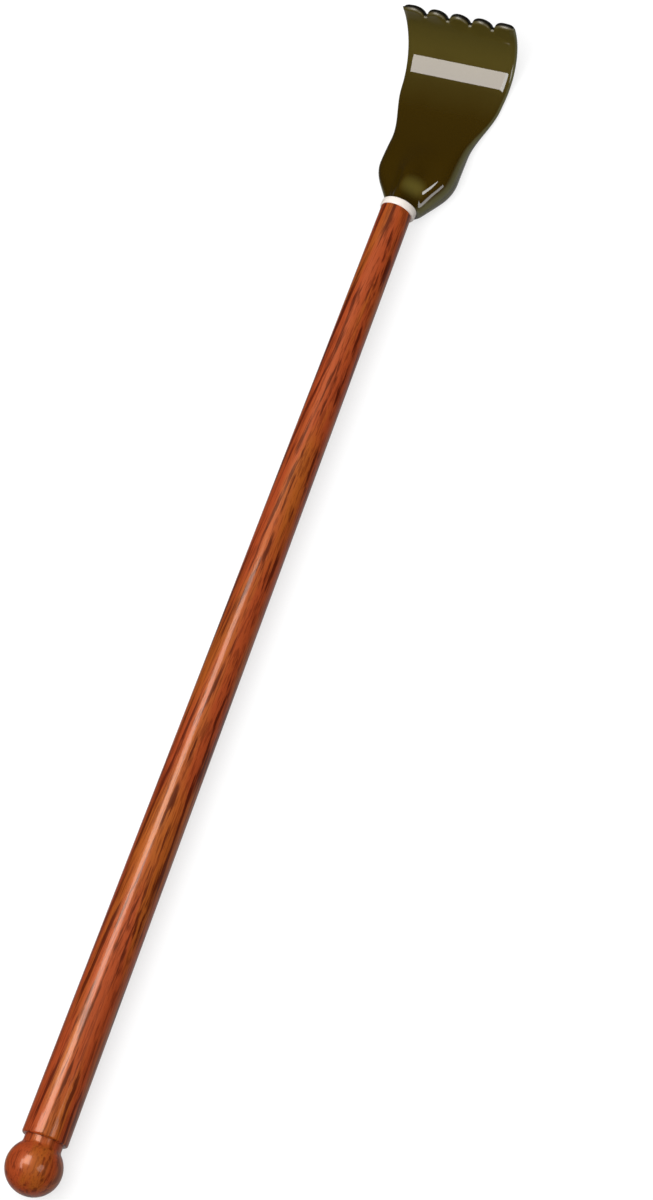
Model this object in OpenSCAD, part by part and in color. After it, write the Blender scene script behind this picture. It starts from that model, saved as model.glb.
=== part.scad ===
// Long back scratcher: a turned wooden shaft with a ball knob at its butt,
// a pale collar, and a moulded hand with curled fingers.
// It lies on the ball and on the flat back of the palm, with the hand face up.
// X runs along the shaft towards the fingers, Y across the hand, Z up.

/* [Shaft] */
// Length of wood that shows between the knob and the collar
shaft_len = 349; // [260:1:420]
// Diameter of the shaft at its butt
butt_d = 16.5; // [15:0.1:20]
// Diameter of the shaft at the collar
top_d = 11.2; // [10:0.1:14]
// Width of the broken edge round the butt
butt_chamfer = 0.5; // [0.2:0.1:1]

/* [Knob] */
// Diameter of the ball
knob_d = 20; // [18:0.5:24]
// Diameter of the neck between the ball and the shaft
neck_d = 13.6; // [12:0.2:15]
// Length of the neck, from the ball to the butt of the shaft
neck_len = 2.7; // [2:0.1:6]
// Radius of the hollow where the neck meets the ball
neck_cove = 2; // [0.5:0.1:2.5]

/* [Collar] */
// Diameter of the collar
collar_d = 12.8; // [11:0.2:16]
// Length of the collar along its own axis
collar_len = 3; // [2:0.5:6]
// Radius of the collar's rounded edges
collar_round = 0.7; // [0.2:0.1:1]
// How far the collar stands proud of the shaft on the side of the hand's face
collar_lip = 0.2; // [0:0.1:1]
// Angle by which the collar and the root of the hand lean back from the shaft
lean = 10; // [0:0.5:14]

/* [Dowels] */
// Diameter of both dowels
dowel_d = 6; // [5:0.5:7]
// Depth of the knob dowel in the knob
knob_dowel_in = 11; // [8:0.5:13]
// Depth of the knob dowel in the shaft
butt_dowel_in = 14; // [10:1:25]
// Depth of the hand dowel in the shaft
top_dowel_in = 14; // [10:1:25]
// Depth of the hand dowel in the hand
hand_dowel_in = 10; // [8:0.5:11]
// Number of glue flutes along a dowel
dowel_flutes = 10; // [6:1:12]
// Radius of a glue flute
flute_r = 0.35; // [0.2:0.05:0.5]
// Width of the chamfer at both ends of a dowel
dowel_chamfer = 0.6; // [0.3:0.1:1]
// Radial clearance of a dowel in its bore
dowel_gap = 0.05; // [0.02:0.01:0.1]
// Room for glue at the blind end of a bore
dowel_slack = 0.5; // [0.3:0.1:1]

/* [Heel of the hand] */
// How far the root of the hand stands inside the collar's rim
root_step = 0.2; // [0:0.05:0.5]
// Height of the root's lowest point above the surface
root_lift = 0.6; // [0.2:0.1:2]
// Distance from the collar to where the heel lies flat on its back
heel_at = 13; // [10:0.5:18]
// Width of the heel
heel_w = 29.8; // [24:0.2:34]
// Height of the heel's shoulders on both sides of the dome
heel_wall = 9.2; // [7:0.1:11]
// Width of the rounding along the top of the shoulders
heel_edge = 5; // [3:0.1:6]
// Width of the rounding along the back of the hand
back_edge = 2; // [1.5:0.1:3]
// How soon the back of the heel comes down behind the collar, 1 being a straight slope
sole_fall = 3.7; // [1.5:0.1:5]
// How soon the shoulders drop from the top of the root, 1 being a straight slope
shoulder_fall = 10; // [4:0.5:14]
// Widening of each flank behind the collar, per unit of length
flank_slope = 0.78; // [0.6:0.02:1]
// Length over which a flank turns into the side of the hand
flank_turn = 3; // [1:0.1:4]

/* [Dome over the dowel] */
// Plastic above the dowel at the top of the dome
dome_wall = 1.9; // [1.5:0.1:3]
// Plastic on each side of the dowel at the foot of the dome
dome_side = 3.5; // [3:0.5:6]
// Distance from the collar to the top of the dome
dome_at = 9; // [8:0.5:12]
// Distance from the collar to where the dome has sunk into the palm
dome_end = 21; // [18:0.5:30]

/* [Palm] */
// Distance from the collar to where the waist starts to widen
waist_at = 25; // [20:0.5:30]
// Distance from the collar to where the palm has its full width
palm_at = 45; // [40:0.5:52]
// Distance from the collar to where the heel has thinned to the palm
palm_from = 43; // [38:0.5:46]
// Width of the palm
palm_w = 37.4; // [34:0.2:46]
// Thickness of the palm
palm_t = 2.8; // [2:0.1:4]
// Width of the rounding along the edges of the palm's face
palm_edge = 2.6; // [1.5:0.1:3]

/* [Fingers] */
// Number of fingers
fingers = 5; // [4:1:6]
// Width across the fingertips
tip_w = 44; // [38:0.5:50]
// Thickness at the fingertips
tip_t = 2.4; // [1.6:0.1:3.5]
// Distance from the collar to where the fingers start to curl
curl_at = 48; // [44:0.5:56]
// Radius of the curl on the back of the fingers
curl_r = 23.2; // [18:0.2:34]
// Angle through which the fingers curl
curl_angle = 80; // [50:1:85]
// Depth of the notches between the fingertips
notch = 3.6; // [2:0.1:3.7]
// Width of the notches at their bottom
notch_w = 1.2; // [0.6:0.1:2]
// How far the outer corners of the outer fingers fall away
corner_drop = 1.2; // [0.5:0.1:2]
// Height of the rounded pads of the fingers
pad = 0.2; // [0:0.05:0.6]
// Length of the pads
pad_len = 5; // [4:0.5:12]

/* [Hidden] */
$fn = 96;

lacquered_wood = [0.62, 0.25, 0.10];
bare_wood = [0.80, 0.66, 0.45];
cream_plastic = [0.93, 0.90, 0.86];
smoke_plastic = [0.20, 0.15, 0.05];
overcut = 0.01;
cove_steps = 8;

// Slow start and slow end, from 0 to 1
function ease(t) = let (u = min(1, max(0, t))) u * u * (3 - 2 * u);
// Quick start and slow end, from 0 to 1
function rise(t, power) = 1 - pow(1 - min(1, max(0, t)), power);
function mix(a, b, t) = a + (b - a) * t;
// The smaller of two lengths, rounded off where they differ by less than the turn
function soft_min(a, b, turn) =
  let (t = min(1, max(0, (1 + (b - a) / turn) / 2))) mix(b, a, t) - turn * t * (1 - t);

// Heights: the ball and the palm's back both lie on the surface at zero
axis_z = knob_d / 2;
collar_set = (collar_d - top_d) / 2 - collar_lip;
root_z = axis_z - collar_len * sin(lean) - collar_set * cos(lean);
root_half = collar_d / 2 - root_step;
root_low = (root_z - root_lift) / cos(lean);
root_tall = root_half + root_low;

// Distances along the back of the hand, from the collar to the fingertips
curl_len = curl_r * curl_angle * PI / 180;
hand_len = curl_at + curl_len;
finger_from = hand_len - notch - pad_len;

// Half width of the hand at a distance q along its back: the flanks of the heel, then its sides
function side(q) = heel_w / 2
  + (palm_w - heel_w) / 2 * ease((q - waist_at) / (palm_at - waist_at))
  + (tip_w - palm_w) / 2 * ease((q - waist_at) / (hand_len - waist_at));
function half_w(q) = soft_min(root_half + flank_slope * q, side(q), flank_turn);

// Height of the sides, from the tall root at the collar to the thin fingertips
function thinning(q) = ease((q - heel_at) / (palm_from - heel_at));
function wall_h(q) = q < heel_at
  ? mix(root_tall, heel_wall, rise(q / heel_at, shoulder_fall))
  : mix(mix(heel_wall, palm_t, thinning(q)), tip_t, ease((q - curl_at) / curl_len));

// Width of the edge rounding as a share of the half width: the root is a full oval,
// and the edges of the face are rounder than those of the back
function edge(q, face) = face ? mix(heel_edge, palm_edge, thinning(q)) : back_edge;
function rim(q, face) = mix(1, edge(q, face) / half_w(q), rise(q / heel_at, sole_fall));
// Rounded shoulder: 1 over the flat, falling to 0 at the rim
function shoulder(c, rim) = let (u = max(0, (abs(c) - 1 + rim) / rim)) sqrt(max(0, 1 - u * u));

// Point [x, z] on the middle line of the back, and the angle of the section there
function curl(q) = (q - curl_at) / curl_len * curl_angle;
function back(q) = q < heel_at
  ? [q - root_low * sin(lean) * (1 - q / heel_at), root_lift * (1 - rise(q / heel_at, sole_fall))]
  : q < curl_at ? [q, 0]
  : [curl_at + curl_r * sin(curl(q)), curl_r * (1 - cos(curl(q)))];
function tilt(q) = q < heel_at ? -lean * (1 - ease(q / heel_at)) : q < curl_at ? 0 : curl(q);

// Dome over the dowel: its height above the shoulders, and its profile across the heel
dome_top = axis_z + dowel_d / 2 + dome_wall;
dome_half = dowel_d / 2 + dome_side;
function crown(q) = q < dome_at
  ? mix(root_z + root_half * cos(lean), dome_top, ease(q / dome_at)) - back(q)[1] - wall_h(q)
  : (dome_top - back(dome_at)[1] - wall_h(dome_at)) * (1 - ease((q - dome_at) / (dome_end - dome_at)));
function dome(y) = (1 + cos(180 * min(1, abs(y) / dome_half))) / 2;

// Fingers: c runs from -1 to 1 across the hand, and f from -1 to 1 across one finger
pitch = 2 / fingers;
pitch_half = tip_w / fingers / 2;
finger_half = pitch_half - notch_w / 2;
function finger(c) = min(fingers - 1, floor((c + 1) / pitch + overcut));
function across_finger(c) = (c + 1) / (pitch / 2) - 2 * finger(c) - 1;
tip_r = (pow(finger_half, 2) + pow(notch, 2)) / (2 * notch);
function scallop(f) = tip_r - sqrt(pow(tip_r, 2) - pow(min(finger_half, abs(f) * pitch_half), 2));
function is_corner(c) = abs(c) > 1 - pitch / 2;
function finger_end(c) =
  hand_len - scallop(across_finger(c)) * (is_corner(c) ? corner_drop / notch : 1);

// Samples across the hand, with a point on every notch and closer together at notches and rims
finger_steps = 10;
samples = concat([for (n = [0 : fingers - 1], k = [0 : finger_steps - 1])
  -1 + pitch * (n + (1 - cos(180 * k / finger_steps)) / 2)], [1]);
across = len(samples) - 1;

// Samples along the hand: closer together at the root, where the heel comes down
heel_steps = 13;
palm_steps = 10;
curl_steps = 8;
tip_steps = 9;
crowding = 1.5;
stations = concat(
  [for (k = [0 : heel_steps - 1]) heel_at * pow(k / heel_steps, crowding)],
  [for (k = [0 : palm_steps - 1]) mix(heel_at, curl_at, k / palm_steps)],
  [for (k = [0 : curl_steps - 1]) mix(curl_at, finger_from, k / curl_steps)]);
rows = len(stations) + tip_steps;
function row_q(i, c) = i < len(stations)
  ? stations[i]
  : mix(finger_from, finger_end(c), sin(90 * (i - len(stations)) / tip_steps));

// Share of the thickness left at a distance q on the line c, rounded to nothing at its end
function bullnose(q, c) =
  let (u = max(0, 1 - (finger_end(c) - q) / (tip_t / 2))) sqrt(max(0, 1 - u * u));

// Point of the surface on row i, on the face of the hand or on its back
function skin(i, j, face) =
  let (c = samples[j], q = row_q(i, c), h = wall_h(q), t = tilt(q), p = back(q),
    round_off = shoulder(c, rim(q, face)) * bullnose(q, c),
    bulge = pad * (1 - pow(across_finger(c), 2)) * ease((q - finger_from) / pad_len),
    rise_off = face ? h / 2 + crown(q) * dome(c * half_w(q)) + bulge : -h / 2,
    up = h / 2 + rise_off * round_off)
  [p[0] - up * sin(t), c * half_w(q), p[1] + up * cos(t)];

// Places along X, with the middle of the whole length at zero
reach = max([for (i = [0 : rows], j = [0 : across]) skin(i, j, false)[0]]);
knob_reach = sqrt(pow(knob_d / 2, 2) - pow(neck_d / 2, 2)) + neck_len;
root_at = knob_reach + shaft_len + collar_len * cos(lean) - collar_set * sin(lean);
ball_x = (knob_d / 2 - root_at - reach) / 2;
butt_x = ball_x + knob_reach;
top_x = butt_x + shaft_len;
root_x = ball_x + root_at;
// Where the shaft's axis passes from the collar into the hand
hand_face_x = top_x + collar_len / cos(lean);

// Closed skin of the hand: rings from the collar to the fingertips, then one line of tips
module hand_skin() {
  ring = 2 * across;
  body = [for (i = [0 : rows - 1], k = [0 : ring - 1])
    k <= across ? skin(i, k, true) : skin(i, ring - k, false)];
  tips = [for (j = [0 : across]) skin(rows, j, true)];
  middle = [(body[0] + body[across]) / 2];
  first_tip = rows * ring;
  hub = first_tip + across + 1;
  last_ring = first_tip - ring;
  sides = [for (i = [0 : rows - 2], k = [0 : ring - 1])
    let (a = i * ring + k, b = i * ring + (k + 1) % ring)
    each [[a, b, a + ring], [b, b + ring, a + ring]]];
  root = [for (k = [0 : ring - 1]) [hub, (k + 1) % ring, k]];
  face_end = [for (j = [0 : across - 1])
    let (a = last_ring + j, t = first_tip + j)
    each j < across / 2 ? [[a, a + 1, t], [a + 1, t + 1, t]] : [[a, a + 1, t + 1], [a, t + 1, t]]];
  back_end = [for (j = [0 : across - 1])
    let (a = last_ring + (ring - j) % ring, b = last_ring + ring - j - 1, t = first_tip + j)
    each j < across / 2 ? [[a, t, b], [b, t, t + 1]] : [[a, t, t + 1], [a, t + 1, b]]];
  translate([root_x, 0, 0])
    polyhedron(concat(body, tips, middle), concat(sides, root, face_end, back_end));
}

// Turns what stands along Z to lie along the shaft's axis, from x onwards
module along_shaft(x) {
  translate([x, 0, axis_z]) rotate([0, 90, 0]) children();
}

module dowel_bore(x, length) {
  along_shaft(x) cylinder(d = dowel_d + 2 * dowel_gap, h = length);
}

// Round dowel with chamfered ends and straight flutes for the glue
module dowel(x, length) {
  dowel_r = dowel_d / 2;
  along_shaft(x) difference() {
    rotate_extrude() polygon([[0, 0], [dowel_r - dowel_chamfer, 0], [dowel_r, dowel_chamfer],
      [dowel_r, length - dowel_chamfer], [dowel_r - dowel_chamfer, length], [0, length]]);
    for (k = [0 : dowel_flutes - 1]) rotate(360 * k / dowel_flutes)
      translate([dowel_r, 0, -overcut]) cylinder(r = flute_r, h = length + 2 * overcut, $fn = 24);
  }
}

// Tapered shaft, cut off at the lean of the collar and bored at both ends
module shaft() {
  butt_r = butt_d / 2;
  top_r = top_d / 2;
  color(lacquered_wood) difference() {
    along_shaft(butt_x) rotate_extrude() polygon([[0, 0], [butt_r - butt_chamfer, 0],
      [butt_r, butt_chamfer], [top_r, shaft_len], [top_r, shaft_len + top_d], [0, shaft_len + top_d]]);
    translate([top_x, 0, axis_z]) rotate([0, lean, 0])
      translate([0, -top_d, -2 * top_d]) cube([2 * top_d, 2 * top_d, 4 * top_d]);
    dowel_bore(butt_x - overcut, butt_dowel_in + dowel_slack + overcut);
    dowel_bore(top_x - top_dowel_in - dowel_slack, top_dowel_in + dowel_slack + top_d);
  }
}

// Ball with a short neck, cut off square at the butt; the cove between them starts inside the ball
module knob() {
  ball_r = knob_d / 2;
  neck_r = neck_d / 2;
  cove_x = neck_r + neck_cove;
  cove_y = sqrt(pow(ball_r + neck_cove, 2) - pow(cove_x, 2));
  sweep = atan2(cove_y, cove_x);
  cove = [for (k = [1 : cove_steps]) let (a = 180 + sweep * (1 - k / cove_steps))
    [cove_x, cove_y] + neck_cove * [cos(a), sin(a)]];
  sunk = cove[0] + cove_steps / 2 * (cove[0] - cove[1]);
  stock = ball_r + neck_len;
  color(lacquered_wood) difference() {
    along_shaft(ball_x) {
      sphere(r = ball_r);
      rotate_extrude() polygon(concat([[0, 0], sunk], cove, [[neck_r, stock], [0, stock]]));
    }
    along_shaft(butt_x) cylinder(d = knob_d, h = stock);
    dowel_bore(butt_x - knob_dowel_in - dowel_slack, knob_dowel_in + dowel_slack + overcut);
  }
}

module knob_dowel() {
  color(bare_wood) dowel(butt_x - knob_dowel_in, knob_dowel_in + butt_dowel_in);
}

// Ring with rounded edges, square to the hand's root and set towards its back
module collar() {
  collar_r = collar_d / 2;
  color(cream_plastic) difference() {
    translate([top_x, 0, axis_z]) rotate([0, 90 + lean, 0]) translate([collar_set, 0, 0])
      rotate_extrude() {
        square([collar_r - collar_round, collar_len]);
        translate([0, collar_round]) square([collar_r, collar_len - 2 * collar_round]);
        for (y = [collar_round, collar_len - collar_round])
          translate([collar_r - collar_round, y]) circle(r = collar_round);
      }
    dowel_bore(top_x - collar_d, 2 * collar_d);
  }
}

module hand_dowel() {
  start = top_x - top_dowel_in;
  color(bare_wood) dowel(start, hand_face_x + hand_dowel_in - start);
}

// Moulded hand: the skin, bored for its dowel
module hand() {
  color(smoke_plastic) difference() {
    hand_skin();
    dowel_bore(top_x, hand_face_x - top_x + hand_dowel_in + dowel_slack);
  }
}

shaft();
knob();
knob_dowel();
collar();
hand_dowel();
hand();
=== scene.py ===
# Back scratcher: lacquered wooden shaft with a ball knob, cream collar, smoke plastic hand
from math import atan2, cos, degrees, floor, pi, radians, sin, sqrt, tan

import bmesh
import bpy
from mathutils import Matrix, Vector


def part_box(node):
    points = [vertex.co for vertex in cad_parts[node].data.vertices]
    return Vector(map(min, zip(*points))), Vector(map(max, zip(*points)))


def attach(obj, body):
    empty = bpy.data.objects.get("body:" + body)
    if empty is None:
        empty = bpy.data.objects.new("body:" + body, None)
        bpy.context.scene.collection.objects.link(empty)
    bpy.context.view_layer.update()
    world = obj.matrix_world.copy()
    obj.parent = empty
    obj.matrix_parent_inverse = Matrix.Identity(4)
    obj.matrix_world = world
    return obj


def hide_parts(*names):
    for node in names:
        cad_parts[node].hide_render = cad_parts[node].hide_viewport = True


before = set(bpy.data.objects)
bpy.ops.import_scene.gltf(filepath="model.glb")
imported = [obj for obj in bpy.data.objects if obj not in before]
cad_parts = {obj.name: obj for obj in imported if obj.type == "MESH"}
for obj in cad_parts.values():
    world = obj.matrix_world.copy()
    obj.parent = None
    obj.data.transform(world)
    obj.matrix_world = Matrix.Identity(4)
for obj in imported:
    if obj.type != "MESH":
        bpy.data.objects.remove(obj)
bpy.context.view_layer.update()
mm = 0.001
turnSteps = 128  # faces round a turned piece
print("frame: nodes", sorted(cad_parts))


# small helpers for shapes

def clamp(t):
    return min(1, max(0, t))


def ease(t):  # slow start, slow end
    t = clamp(t)
    return t * t * (3 - 2 * t)


def rise(t, power):  # quick start, slow end
    return 1 - (1 - clamp(t)) ** power


def mix(a, b, t):
    return a + (b - a) * t


def softMin(a, b, turn):  # the smaller one, with a round turn between them
    t = clamp((1 + (a - b) / turn) / 2)
    return mix(a, b, t) - turn * t * (1 - t)


def arc(centre, radius, start, end, steps):  # points of an arc, angles in degrees
    angles = [radians(mix(start, end, k / steps)) for k in range(steps + 1)]
    return [(centre[0] + radius * cos(a), centre[1] + radius * sin(a)) for a in angles]


def newObject(name, data):
    thing = bpy.data.objects.new(name, data)
    bpy.context.scene.collection.objects.link(thing)
    return thing


def newPiece(name, points, faces, slot, finish, sharpAngle=35):  # points in millimetres
    mesh = bpy.data.meshes.new(name)
    mesh.from_pydata([Vector(p) * mm for p in points], [], faces)
    solid = bmesh.new()
    solid.from_mesh(mesh)
    bmesh.ops.recalc_face_normals(solid, faces=solid.faces)  # all faces look outwards
    solid.to_mesh(mesh)
    solid.free()
    mesh.shade_smooth()
    mesh.set_sharp_from_angle(angle=radians(sharpAngle))
    mesh.materials.append(finish)
    piece = newObject(name, mesh)
    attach(piece, "root")
    return piece


def turned(profile, place, loop=False):
    # profile runs from axis to axis, or round a ring; place puts (s, r, angle) in space
    points, rings = [], []
    for s, r in profile:
        if r == 0:
            rings.append([len(points)] * turnSteps)
            points.append(place(s, 0, 0))
        else:
            rings.append(list(range(len(points), len(points) + turnSteps)))
            points += [place(s, r, 2 * pi * k / turnSteps) for k in range(turnSteps)]
    faces = []
    for low, high in zip(rings, rings[1:] + rings[:1] if loop else rings[1:]):
        for k in range(turnSteps):
            n = (k + 1) % turnSteps
            corners = [low[k], low[n], high[n], high[k]]
            faces.append([c for i, c in enumerate(corners) if c not in corners[:i]])
    return points, faces


# shader maths as Python expressions

class Wire:
    def __init__(self, shader, socket):
        self.shader = shader
        self.socket = socket

    def math(self, operation, *terms):
        return self.shader.add("Math", {"operation": operation}, dict(enumerate(terms)))

    def __add__(self, other):
        return self.math("ADD", self, other)

    def __radd__(self, other):
        return self.math("ADD", other, self)

    def __sub__(self, other):
        return self.math("SUBTRACT", self, other)

    def __rsub__(self, other):
        return self.math("SUBTRACT", other, self)

    def __mul__(self, other):
        return self.math("MULTIPLY", self, other)

    def __rmul__(self, other):
        return self.math("MULTIPLY", other, self)


class Shader:
    def __init__(self, owner):  # a new material or world
        owner.use_nodes = True
        self.owner = owner
        self.tree = owner.node_tree
        self.tree.nodes.clear()

    def add(self, kind, settings=None, inputs=None, output=0):
        node = self.tree.nodes.new("ShaderNode" + kind)
        for key, value in (settings or {}).items():
            if key == "stops":  # colour ramp: list of (place, colour)
                ramp = node.color_ramp
                while len(ramp.elements) < len(value):
                    ramp.elements.new(1)
                for stop, (place, colour) in zip(ramp.elements, value):
                    stop.position = place
                    stop.color = (*colour, 1)
            else:
                setattr(node, key, value)
        for key, value in (inputs or {}).items():
            socket = node.inputs[key]
            if isinstance(value, Wire):
                self.tree.links.new(value.socket, socket)
            else:
                socket.default_value = (*value, 1) if socket.type == "RGBA" else value
        return Wire(self, node.outputs[output]) if node.outputs else None

    def where(self):  # place on the object, in metres
        return self.add("TexCoord", {}, {}, "Object")

    def part(self, vector, axis):
        return self.add("SeparateXYZ", {}, {0: vector}, axis)

    def vector(self, operation, a, b):
        return self.add("VectorMath", {"operation": operation}, {0: a, 1: b})

    def blendColour(self, factor, a, b):  # sockets 6 and 7 take the colours
        return self.add("Mix", {"data_type": "RGBA"}, {0: factor, 6: a, 7: b}, 2)

    def noise(self, place, cells, detail, roughness=0.5):  # one count of cells, or one per axis
        if isinstance(cells, tuple):
            place, cells = self.vector("MULTIPLY", place, cells), 1
        return self.add("TexNoise", {}, {"Vector": place, "Scale": cells, "Detail": detail,
                                         "Roughness": roughness})

    def band(self, value, start, full):  # 0 at start, 1 at full, smooth between
        return self.add("MapRange", {"interpolation_type": "SMOOTHSTEP"},
                        {"Value": value, "From Min": start, "From Max": full})

    def away(self, place, centre):  # distance from a centre, seen from above
        offset = self.vector("MULTIPLY", self.vector("SUBTRACT", place, centre), (1, 1, 0))
        return self.add("VectorMath", {"operation": "LENGTH"}, {0: offset}, "Value")

    def bump(self, height, depth, strength):
        return self.add("Bump", {}, {"Height": height, "Distance": depth, "Strength": strength})

    def done(self, sockets):
        surface = self.add("BsdfPrincipled", {}, sockets)
        self.add("OutputMaterial", {}, {"Surface": surface})
        return self.owner


# finishes: a noise is cells per metre, detail and roughness, a relief is depth and strength,
# and a band is where something starts and where it is full

lacquer = {
    "red": (0.395, 0.061, 0.014), "gold": (0.395, 0.089, 0.011), "dark": (0.075, 0.0050, 0.0010),
    "slope": 0.05, "waver": 0.005, "waverNoise": (11, 1),  # the grain runs askew and wavers
    # the figure, with its cells along and across the grain
    "patches": {"noise": ((16, 190, 190), 2), "band": (0.40, 0.64)},
    "lines": {"noise": ((9, 1700, 1700), 2), "band": (0.52, 0.62), "share": 0.45},
    "flames": {"noise": ((12, 560, 560), 3, 0.6), "band": (0.51, 0.62), "share": 0.88},
    "pores": {"noise": ((110, 4200, 4200), 2), "band": (0.55, 0.70), "share": 0.30},
    "onKnob": 0.68, "seam": 0.0002,  # the figure is calmer on the knob
    "relief": (0.00003, 0.3), "flameRelief": 0.5,
    "roughness": 0.26, "glossAdds": 0.12, "glossNoise": (120, 3),
    "tint": (1.0, 0.50, 0.26), "coat": 0.35, "coatRoughness": 0.07,
}


def lacqueredWood():
    finish = Shader(bpy.data.materials.new("lacqueredWood"))
    place = finish.where()
    x = finish.part(place, "X")
    waver = finish.noise(place, *lacquer["waverNoise"]) * lacquer["waver"]
    shift = finish.add("CombineXYZ", {}, {"Y": x * lacquer["slope"] + waver,
                                          "Z": x * -lacquer["slope"]})
    grain = finish.vector("ADD", place, shift)
    figure = {name: finish.noise(grain, *lacquer[name]["noise"])
              for name in ("patches", "lines", "flames", "pores")}
    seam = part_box("shaft")[0].x
    pastSeam = finish.band(x, seam - lacquer["seam"], seam)
    strong = pastSeam * (1 - lacquer["onKnob"]) + lacquer["onKnob"]
    wood = finish.blendColour(finish.band(figure["patches"], *lacquer["patches"]["band"]),
                              lacquer["red"], lacquer["gold"])
    for name in ("lines", "flames", "pores"):
        shown = finish.band(figure[name], *lacquer[name]["band"]) * strong * lacquer[name]["share"]
        wood = finish.blendColour(shown, wood, lacquer["dark"])
    height = figure["pores"] + figure["flames"] * lacquer["flameRelief"]
    gloss = finish.noise(place, *lacquer["glossNoise"])
    return finish.done({"Base Color": wood, "Normal": finish.bump(height, *lacquer["relief"]),
                        "Roughness": lacquer["roughness"] + gloss * lacquer["glossAdds"],
                        "Specular Tint": lacquer["tint"], "Coat Weight": lacquer["coat"],
                        "Coat Roughness": lacquer["coatRoughness"]})


bare = {
    "pale": (0.62, 0.44, 0.25), "line": (0.45, 0.28, 0.14),
    "grain": ((30, 900, 900), 3), "lineBand": (0.40, 0.65),
    "relief": (0.0001, 0.4), "roughness": 0.6, "grainAdds": 0.2,
}


def bareWood():
    finish = Shader(bpy.data.materials.new("bareWood"))
    grain = finish.noise(finish.where(), *bare["grain"])
    wood = finish.blendColour(finish.band(grain, *bare["lineBand"]), bare["pale"], bare["line"])
    return finish.done({"Base Color": wood, "Normal": finish.bump(grain, *bare["relief"]),
                        "Roughness": bare["roughness"] + grain * bare["grainAdds"]})


cream = {
    "fresh": (0.93, 0.85, 0.78), "aged": (0.84, 0.73, 0.61),
    "cloud": (260, 3), "cloudBand": (0.45, 0.75), "cloudShare": 0.5, "speck": (1500, 2),
    "relief": (0.00003, 0.3), "roughness": 0.24, "speckAdds": 0.10,
}


def creamPlastic():
    finish = Shader(bpy.data.materials.new("creamPlastic"))
    place = finish.where()
    cloud = finish.noise(place, *cream["cloud"])
    speck = finish.noise(place, *cream["speck"])
    yellowed = finish.band(cloud, *cream["cloudBand"]) * cream["cloudShare"]
    colour = finish.blendColour(yellowed, cream["fresh"], cream["aged"])
    return finish.done({"Base Color": colour, "Normal": finish.bump(speck, *cream["relief"]),
                        "Roughness": cream["roughness"] + speck * cream["speckAdds"]})


smoke = {
    # painted light: the tones run dark in the thick heel and lighter in the thin palm and fingers,
    # standing in for light shining through the thinner plastic
    "heel": 0.150, "tips": 0.2213,  # metres along X where the tones start and end
    "tones": [(0.00, (0.037, 0.020, 0.0006)), (0.30, (0.037, 0.020, 0.0006)),
              (0.55, (0.039, 0.022, 0.0012)), (0.71, (0.052, 0.035, 0.0050)),
              (0.86, (0.083, 0.062, 0.0110)), (1.00, (0.088, 0.067, 0.0120))],
    "flow": ((40, 120, 120), 3), "flowShift": 0.006,  # metres that the tones wander
    # painted highlight: a soft pale patch on the dome, standing in for a blurred reflection of
    # light on it
    "glow": (0.125, 0.098, 0.018), "domeHighlightAt": (0.1578, -0.0034, 0.0),
    "domeHighlightBand": (0.0050, 0.0003), "domeHighlightShare": 0.9,
    # painted light: the thin edges are lighter and greyer, standing in for light through them and
    # the floor's reflection in the side walls
    "rim": (0.140, 0.132, 0.060), "rimLightBand": (0.72, 1), "rimLightShare": 0.95,
    # painted shade: the ends of the fingers are darkened from the face to the turn of the back,
    # standing in for dark edge reflections; these ends are also worn rougher
    "tip": (0.006, 0.005, 0.0015), "tipShadeBand": (0.40, 0.50), "backBand": (0.80, 0.95),
    "wornBand": (0.0, 0.3), "wornAdds": 0.34,
    "scuff": ((900, 160, 400), 4, 0.6), "scuffBand": (0.55, 0.9), "scuffAdds": 0.08,
    "relief": (0.00008, 0.15), "roughness": 0.035, "index": 1.62,
}


def smokePlastic():
    finish = Shader(bpy.data.materials.new("smokePlastic"))
    place = finish.where()
    edge = finish.add("Attribute", {"attribute_name": "edge"}, {}, "Fac")
    tip = finish.add("Attribute", {"attribute_name": "tip"}, {}, "Fac")
    flow = finish.noise(place, *smoke["flow"])
    x = finish.part(place, "X") + (flow - 0.5) * smoke["flowShift"]
    along = finish.add("MapRange", {}, {"Value": x, "From Min": smoke["heel"],
                                        "From Max": smoke["tips"]})
    # painted light: lighter towards the thin fingers, where light shines through the plastic
    colour = finish.add("ValToRGB", {"stops": smoke["tones"]}, {0: along})
    # painted highlight on the dome
    glow = finish.band(finish.away(place, smoke["domeHighlightAt"]), *smoke["domeHighlightBand"])
    colour = finish.blendColour(glow * smoke["domeHighlightShare"], colour, smoke["glow"])
    # painted light on the thin edges
    rim = finish.band(edge, *smoke["rimLightBand"])
    colour = finish.blendColour(rim * smoke["rimLightShare"], colour, smoke["rim"])
    # painted shade on the fingertips, kept off the back
    beforeBack = 1 - finish.band(tip, *smoke["backBand"])
    dark = finish.band(tip, *smoke["tipShadeBand"]) * beforeBack
    colour = finish.blendColour(dark, colour, smoke["tip"])
    worn = finish.band(tip, *smoke["wornBand"]) * beforeBack * smoke["wornAdds"]
    scuff = finish.band(finish.noise(place, *smoke["scuff"]), *smoke["scuffBand"])
    return finish.done({"Base Color": colour, "Normal": finish.bump(flow, *smoke["relief"]),
                        "Roughness": smoke["roughness"] + scuff * smoke["scuffAdds"] + worn,
                        "IOR": smoke["index"]})


finishes = {"wood": lacqueredWood(), "dowel": bareWood(), "cream": creamPlastic(),
            "smoke": smokePlastic()}
print("finishes:", ", ".join(finishes))


# places taken from the frame, in millimetres

def nodeBox(node):
    low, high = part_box(node)
    return low / mm, high / mm


knobLow, knobHigh = nodeBox("knob")
shaftLow, shaftHigh = nodeBox("shaft")
collarLow, collarHigh = nodeBox("collar")
fingersX = nodeBox("hand")[1].x
axisZ = (knobLow.z + knobHigh.z) / 2
ballR = (knobHigh.z - knobLow.z) / 2
ballX = knobLow.x + ballR
buttX = shaftLow.x


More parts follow.
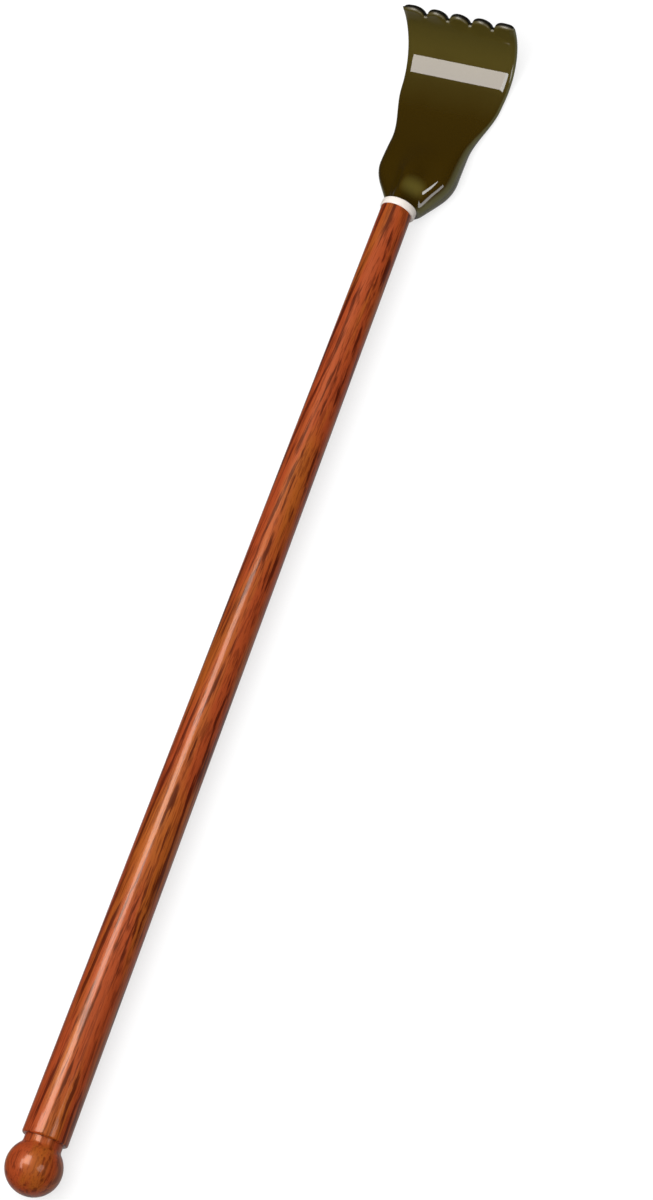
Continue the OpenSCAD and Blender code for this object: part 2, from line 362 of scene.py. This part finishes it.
def onShaft(s, r, a):  # distance along X, radius and angle round the shaft's axis
    return (s, r * cos(a), axisZ + r * sin(a))


# shaft: tapered, with a rounded butt edge and an end cut at the collar's lean

shaft = {
    "length": 349, "topD": 11.2, "edge": 0.8, "lean": 10,
    "boreR": 3.05, "buttBore": 14.5, "topBore": 14.5, "rings": 48, "edgeSteps": 5,
}


def makeShaft():
    buttR = (shaftHigh.y - shaftLow.y) / 2
    topR = shaft["topD"] / 2
    topX = buttX + shaft["length"]
    edge = shaft["edge"]
    turn = arc((buttR - edge, edge), edge, 270, 360, shaft["edgeSteps"])
    rounded = [(buttX + y, x) for x, y in turn]
    rings = shaft["rings"]
    body = [(mix(buttX + edge, topX, k / rings), mix(buttR, topR, k / rings))
            for k in range(1, rings + 1)]
    bore = shaft["boreR"]
    buttEnd = buttX + shaft["buttBore"]
    topEnd = topX - shaft["topBore"]
    profile = [(buttEnd, 0), (buttEnd, bore), (buttX, bore)] + rounded + body
    profile += [(topX, bore), (topEnd, bore), (topEnd, 0)]

    def place(s, r, a):
        slant = r * sin(a) * tan(radians(shaft["lean"])) if s == topX else 0
        return onShaft(s + slant, r, a)

    piece = newPiece("shaftWood", *turned(profile, place), "lacquered_wood", finishes["wood"])
    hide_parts("shaft")


makeShaft()
print("shaft: turned")


# knob: ball, cove and neck, bored for its dowel

knob = {"neckD": 13.6, "cove": 2.0, "boreIn": 11.5, "coveSteps": 10, "ballSteps": 48}


def makeKnob():
    neckR = knob["neckD"] / 2
    cove = knob["cove"]
    coveR = neckR + cove
    coveX = sqrt((ballR + cove) ** 2 - coveR ** 2)
    touch = degrees(atan2(coveR, coveX))  # where the cove meets the ball
    hollow = arc((ballX + coveX, coveR), cove, 270, 180 + touch, knob["coveSteps"])
    ball = arc((ballX, 0), ballR, touch, 180, knob["ballSteps"])[1:-1]
    bottom = buttX - knob["boreIn"]
    bore = shaft["boreR"]
    profile = [(bottom, 0), (bottom, bore), (buttX, bore), (buttX, neckR)]
    profile += hollow + ball + [(ballX - ballR, 0)]
    piece = newPiece("knobBall", *turned(profile, onShaft), "lacquered_wood", finishes["wood"])
    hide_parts("knob")


makeKnob()
print("knob: turned")


# collar: ring with rounded edges, leaning with the root of the hand

collar = {"length": 3, "round": 0.7, "lip": 0.2, "boreR": 4.2, "edgeSteps": 8}
collarR = (collarHigh.y - collarLow.y) / 2
collarSet = collarR - shaft["topD"] / 2 - collar["lip"]


def makeCollar():
    lean = radians(shaft["lean"])
    along = Vector((cos(lean), 0, -sin(lean)))
    down = Vector((-sin(lean), 0, -cos(lean)))
    seat = Vector((buttX + shaft["length"], 0, axisZ)) + down * collarSet
    edge, steps, length = collar["round"], collar["edgeSteps"], collar["length"]
    lower = [(y, x) for x, y in arc((collarR - edge, edge), edge, 270, 360, steps)]
    upper = [(y, x) for x, y in arc((collarR - edge, length - edge), edge, 0, 90, steps)]
    ring = [(0, collar["boreR"])] + lower + upper + [(length, collar["boreR"])]

    def place(s, r, a):
        return seat + along * s + (down * cos(a) + Vector((0, 1, 0)) * sin(a)) * r

    skin = turned(ring, place, loop=True)
    piece = newPiece("collarRing", *skin, "cream_plastic", finishes["cream"])
    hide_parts("collar")


makeCollar()
print("collar: turned")


# hand: one skin over rows along the hand (q) and samples across it (c)

hand = {
    "rootStep": 0.2, "rootLift": 0.6, "leanEnd": 18, "soleFall": 3.7,
    "heelAt": 13, "heelW": 29.8, "heelWall": 9.2, "heelClimb": 0.06, "heelTurn": 5,
    "heelEdge": 5, "backEdge": 2, "shoulderFall": 45, "flankSlope": 0.78, "flankTurn": 3,
    "domeTop": 13.5, "domeHalf": 6.6, "domeFoot": 12, "domeAt": 9, "domeEnd": 27,
    "waistAt": 25, "palmAt": 45, "palmFrom": 43, "palmW": 37.4, "palmT": 2.8, "palmEdge": 2.6,
    "fingers": 5, "tipW": 44, "tipT": 2.4, "curlAt": 48, "curlR": 23.2, "curlAngle": 80,
    "notch": 3.6, "notchW": 1.2, "cornerDrop": 1.2, "pad": 0.2, "padLength": 5,
    # rows of the mesh, closer together at the root, and samples across each finger
    "heelRows": 44, "heelCrowd": 1.5, "palmRows": 56, "curlRows": 30, "tipRows": 18,
    "fingerSteps": 24, "sharpAngle": 60,
}


class HandShape:
    def __init__(self, sizes):
        self.__dict__.update(sizes)
        lean = radians(shaft["lean"])
        self.lean = lean
        self.rootZ = axisZ - collar["length"] * sin(lean) - collarSet * cos(lean)
        self.rootHalf = collarR - self.rootStep
        self.rootLow = (self.rootZ - self.rootLift) / cos(lean)
        self.rootTall = self.rootHalf + self.rootLow
        self.curlLength = self.curlR * radians(self.curlAngle)
        self.length = self.curlAt + self.curlLength
        self.fingerFrom = self.length - self.notch - self.padLength
        self.pitch = 2 / self.fingers
        self.pitchHalf = self.tipW / self.fingers / 2
        self.fingerHalf = self.pitchHalf - self.notchW / 2
        self.tipR = (self.fingerHalf ** 2 + self.notch ** 2) / (2 * self.notch)

    def halfWidth(self, q):
        palm = ease((q - self.waistAt) / (self.palmAt - self.waistAt))
        tips = ease((q - self.waistAt) / (self.length - self.waistAt))
        wide = self.heelW + (self.palmW - self.heelW) * palm + (self.tipW - self.palmW) * tips
        flank = self.rootHalf + self.flankSlope * q
        return softMin(wide / 2, flank, self.flankTurn)

    def thinning(self, q):
        return ease((q - self.heelAt) / (self.palmFrom - self.heelAt))

    def wall(self, q):
        climb = self.heelClimb * (softMin(q, self.heelAt, self.heelTurn) - self.domeAt)
        shoulder = self.heelWall + climb
        if q < self.heelAt:
            return mix(self.rootTall, shoulder, rise(q / self.heelAt, self.shoulderFall))
        flat = mix(shoulder, self.palmT, self.thinning(q))
        return mix(flat, self.tipT, ease((q - self.curlAt) / self.curlLength))

    def rim(self, q, side):
        edge = self.backEdge
        if side > 0:
            edge = mix(self.heelEdge, self.palmEdge, self.thinning(q))
        return mix(1, edge / self.halfWidth(q), rise(q / self.heelAt, self.soleFall))

    def curl(self, q):
        return radians(self.curlAngle) * (q - self.curlAt) / self.curlLength

    def back(self, q):
        if q < self.heelAt:
            t = q / self.heelAt
            lift = self.rootLift * (1 - rise(t, self.soleFall))
            return q - self.rootLow * sin(self.lean) * (1 - t), lift
        if q < self.curlAt:
            return q, 0
        turn = self.curl(q)
        return self.curlAt + self.curlR * sin(turn), self.curlR * (1 - cos(turn))

    def tilt(self, q):
        if q < self.leanEnd:
            return -self.lean * (1 - ease(q / self.leanEnd))
        return self.curl(q) if q > self.curlAt else 0

    def pastDome(self, q):
        return ease((q - self.domeAt) / (self.domeEnd - self.domeAt))

    def crown(self, q):
        if q < self.domeAt:
            rootTop = self.rootZ + self.rootHalf * cos(self.lean)
            top = mix(rootTop, self.domeTop, ease(q / self.domeAt))
            return top - self.back(q)[1] - self.wall(q)
        full = self.domeTop - self.back(self.domeAt)[1] - self.wall(self.domeAt)
        return full * (1 - self.pastDome(q))

    def acrossFinger(self, c):  # -1 to 1 across the finger that the line c runs on
        hair = 0.001  # a line on a notch belongs to the next finger
        n = min(self.fingers - 1, floor((c + 1) / self.pitch + hair))
        return (c + 1) / (self.pitch / 2) - 2 * n - 1

    def end(self, c):  # where the line c ends at its fingertip
        f = min(self.fingerHalf, abs(self.acrossFinger(c)) * self.pitchHalf)
        outer = abs(c) > 1 - self.pitch / 2
        drop = self.cornerDrop / self.notch if outer else 1
        return self.length - (self.tipR - sqrt(self.tipR ** 2 - f * f)) * drop

    def point(self, q, c, side):  # side 1 on the face, -1 on the back
        h = self.wall(q)
        half = self.halfWidth(q)
        rim = self.rim(q, side)
        u = max(0, (abs(c) - 1 + rim) / rim)
        v = max(0, 1 - (self.end(c) - q) / (self.tipT / 2))
        roundOff = sqrt(max(0, 1 - u * u)) * sqrt(max(0, 1 - v * v))
        lift = 0
        if side > 0:
            foot = mix(self.domeHalf, self.domeFoot, self.pastDome(q))
            dome = (1 + cos(pi * min(1, abs(c * half) / foot))) / 2
            swell = 1 - self.acrossFinger(c) ** 2
            pad = self.pad * swell * ease((q - self.fingerFrom) / self.padLength)
            lift = self.crown(q) * dome + pad
        up = h / 2 + (side * h / 2 + lift) * roundOff
        x, z = self.back(q)
        t = self.tilt(q)
        tip = v / 2 if side > 0 else 1 - v / 2  # 0 on the face, half on a finger's end, 1 behind
        return x - up * sin(t), c * half, z + up * cos(t), min(1, u), tip


def makeHand():
    shape = HandShape(hand)
    steps = hand["fingerSteps"]
    across = []
    for n in range(shape.fingers):
        for k in range(steps):
            t = (1 - cos(pi * k / steps)) / 2  # closer together at notches and rims
            across.append(-1 + shape.pitch * (n + t))
    across.append(1)
    heelRows, palmRows, curlRows = hand["heelRows"], hand["palmRows"], hand["curlRows"]
    rows = [shape.heelAt * (k / heelRows) ** hand["heelCrowd"] for k in range(heelRows)]
    rows += [mix(shape.heelAt, shape.curlAt, k / palmRows) for k in range(palmRows)]
    rows += [mix(shape.curlAt, shape.fingerFrom, k / curlRows) for k in range(curlRows)]
    tipRows = hand["tipRows"]
    points, edges, tips, faces = [], [], [], []

    def addPoint(q, c, side):
        x, y, z, edge, tip = shape.point(q, c, side)
        points.append((x, y, z))
        edges.append(edge)
        tips.append(tip)

    def ringOf(qOf):  # over the face and home along the back
        start = len(points)
        line = [(c, 1) for c in across] + [(c, -1) for c in across[-2:0:-1]]
        for c, side in line:
            addPoint(qOf(c), c, side)
        return list(range(start, len(points)))

    rings = [ringOf(lambda c, q=q: q) for q in rows]
    rings += [ringOf(lambda c, s=sin(pi / 2 * k / tipRows): mix(shape.fingerFrom, shape.end(c), s))
              for k in range(tipRows)]
    count = len(rings[0])
    for low, high in zip(rings, rings[1:]):
        for k in range(count):
            n = (k + 1) % count
            faces.append((low[k], low[n], high[n], high[k]))
    faces.append(rings[0][::-1])  # flat root against the collar
    ends = range(len(points), len(points) + len(across))
    for c in across:
        addPoint(shape.end(c), c, 1)
    rim = rings[-1]
    for j in range(len(across) - 1):
        faces.append((rim[j], rim[j + 1], ends[j + 1], ends[j]))
        faces.append((rim[-j % count], ends[j], ends[j + 1], rim[-(j + 1) % count]))
    reach = max(p[0] for p in points)
    points = [(x + fingersX - reach, y, z) for x, y, z in points]
    piece = newPiece("handSmoke", points, faces, "smoke_plastic", finishes["smoke"],
                     hand["sharpAngle"])
    for name, values in (("edge", edges), ("tip", tips)):
        piece.data.attributes.new(name, "FLOAT", "POINT").data.foreach_set("value", values)
    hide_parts("hand")


makeHand()
print("hand: skin made")

for node in ("knob_dowel", "hand_dowel"):
    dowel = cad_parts[node]
    dowel.data.materials.clear()
    dowel.data.materials.append(finishes["dowel"])
print("dowels: bare wood")


# floor, light and camera, in metres

studio = {
    "floorColour": (0.32, 0.32, 0.32), "floorGlow": 0.70, "floorHalf": 6.0,
    "floorRoughness": 0.8, "fibre": (300, 2), "fibreAdds": 0.1,
    # a mirrored lamp shows only in the gloss, the sky only lights surfaces
    "lamps": {
        "softbox": {"at": (-0.03, 0.105, 0.70), "size": (0.46, 0.31), "power": 3.6,
                    "mirrored": True},
        "hotEnd": {"at": (-0.10, 0.105, 0.70), "size": (0.32, 0.31), "power": 1.6,
                   "mirrored": True},  # brighter towards the knob
        "ceiling": {"at": (-0.457, 0.995, 2.0), "size": (1.314, 0.47), "power": 14.4,
                    "colour": (1.0, 0.94, 0.895), "mirrored": True},  # the bar in the palm
        "sky": {"at": (0.0, 0.0, 1.60), "size": (3.0, 3.0), "power": 48, "mirrored": False},
        "card": {"at": (-0.21, -0.555, 0.45), "size": (0.36, 0.25), "power": 1.1,
                 "aim": (0.158, -0.01, 0.01), "mirrored": True},
    },
    # the world in reflections from above and from steeply below, on surfaces, behind the object
    "dark": 0.018, "below": 0.38, "steep": (-0.7, -0.35), "fill": 0.30, "backdrop": 0.80,
}


def makeFloor():
    finish = Shader(bpy.data.materials.new("floorPaper"))
    fibre = finish.noise(finish.where(), *studio["fibre"])
    paper = finish.done({"Base Color": studio["floorColour"],
                         "Roughness": studio["floorRoughness"] + fibre * studio["fibreAdds"],
                         "Emission Color": (1, 1, 1), "Emission Strength": studio["floorGlow"]})
    half = studio["floorHalf"]
    corners = [(-half, -half, 0), (half, -half, 0), (half, half, 0), (-half, half, 0)]
    mesh = bpy.data.meshes.new("floor")
    mesh.from_pydata(corners, [], [(0, 1, 2, 3)])
    mesh.materials.append(paper)
    sheet = newObject("floor", mesh)
    sheet.visible_glossy = False  # the gloss mirrors dark surroundings instead of the paper
    sheet.visible_diffuse = False  # and no light comes back up from it, so the sides stay darker


def areaLight(name, sizes):
    lamp = bpy.data.lights.new(name, "AREA")
    lamp.shape = "RECTANGLE"
    lamp.size, lamp.size_y = sizes["size"]
    lamp.energy = sizes["power"]
    lamp.color = sizes.get("colour", (1, 1, 1))
    light = newObject(name, lamp)
    light.location = sizes["at"]
    if "aim" in sizes:  # the others lie flat, facing down
        ray = Vector(sizes["aim"]) - light.location
        light.rotation_euler = ray.to_track_quat("-Z", "Y").to_euler()
    light.visible_glossy = sizes["mirrored"]
    light.visible_diffuse = not sizes["mirrored"]


def makeWorld():
    air = Shader(bpy.data.worlds.new("studio"))
    z = air.part(air.add("TexCoord", {}, {}, "Generated"), "Z")
    low, high = studio["steep"]
    level = air.add("MapRange", {}, {"Value": z, "From Min": low, "From Max": high,
                                     "To Min": studio["below"], "To Max": studio["dark"]})
    for kind, bright in (("Diffuse", studio["fill"]), ("Camera", studio["backdrop"])):
        ray = air.add("LightPath", {}, {}, "Is " + kind + " Ray")
        level = air.add("MapRange", {}, {"Value": ray, "To Min": level, "To Max": bright})
    glow = air.add("Background", {}, {"Color": (1, 1, 1), "Strength": level})
    air.add("OutputWorld", {}, {"Surface": glow})
    bpy.context.scene.world = air.owner
    bpy.context.scene.view_settings.view_transform = "Standard"


makeFloor()
for name, sizes in studio["lamps"].items():
    areaLight(name, sizes)
makeWorld()
print("studio: floor,", ", ".join(studio["lamps"]))

view = {
    "aim": (5.51 * mm, -27.71 * mm, 10 * mm),  # what stands at the picture's centre
    "sideways": 26.417, "towardsButt": 14.416, "roll": 20.615,  # degrees from straight above
    "distance": 2.5571, "lens": 224.75,
}


def makeCamera():
    side, butt, roll = (radians(view[k]) for k in ("sideways", "towardsButt", "roll"))
    away = Vector((-sin(butt), -cos(butt) * sin(side), cos(butt) * cos(side)))
    level = Vector((1, 0, 0))
    level = (level - away * level.dot(away)).normalized()
    right = level.cross(away)
    up = level * cos(roll) - right * sin(roll)
    right = level * sin(roll) + right * cos(roll)
    turn = Matrix((right, up, away)).transposed().to_4x4()
    data = bpy.data.cameras.new("camera")
    data.lens = view["lens"]
    camera = newObject("camera", data)
    camera.matrix_world = Matrix.Translation(Vector(view["aim"]) + away * view["distance"]) @ turn
    bpy.context.scene.camera = camera


makeCamera()
print("camera: set")
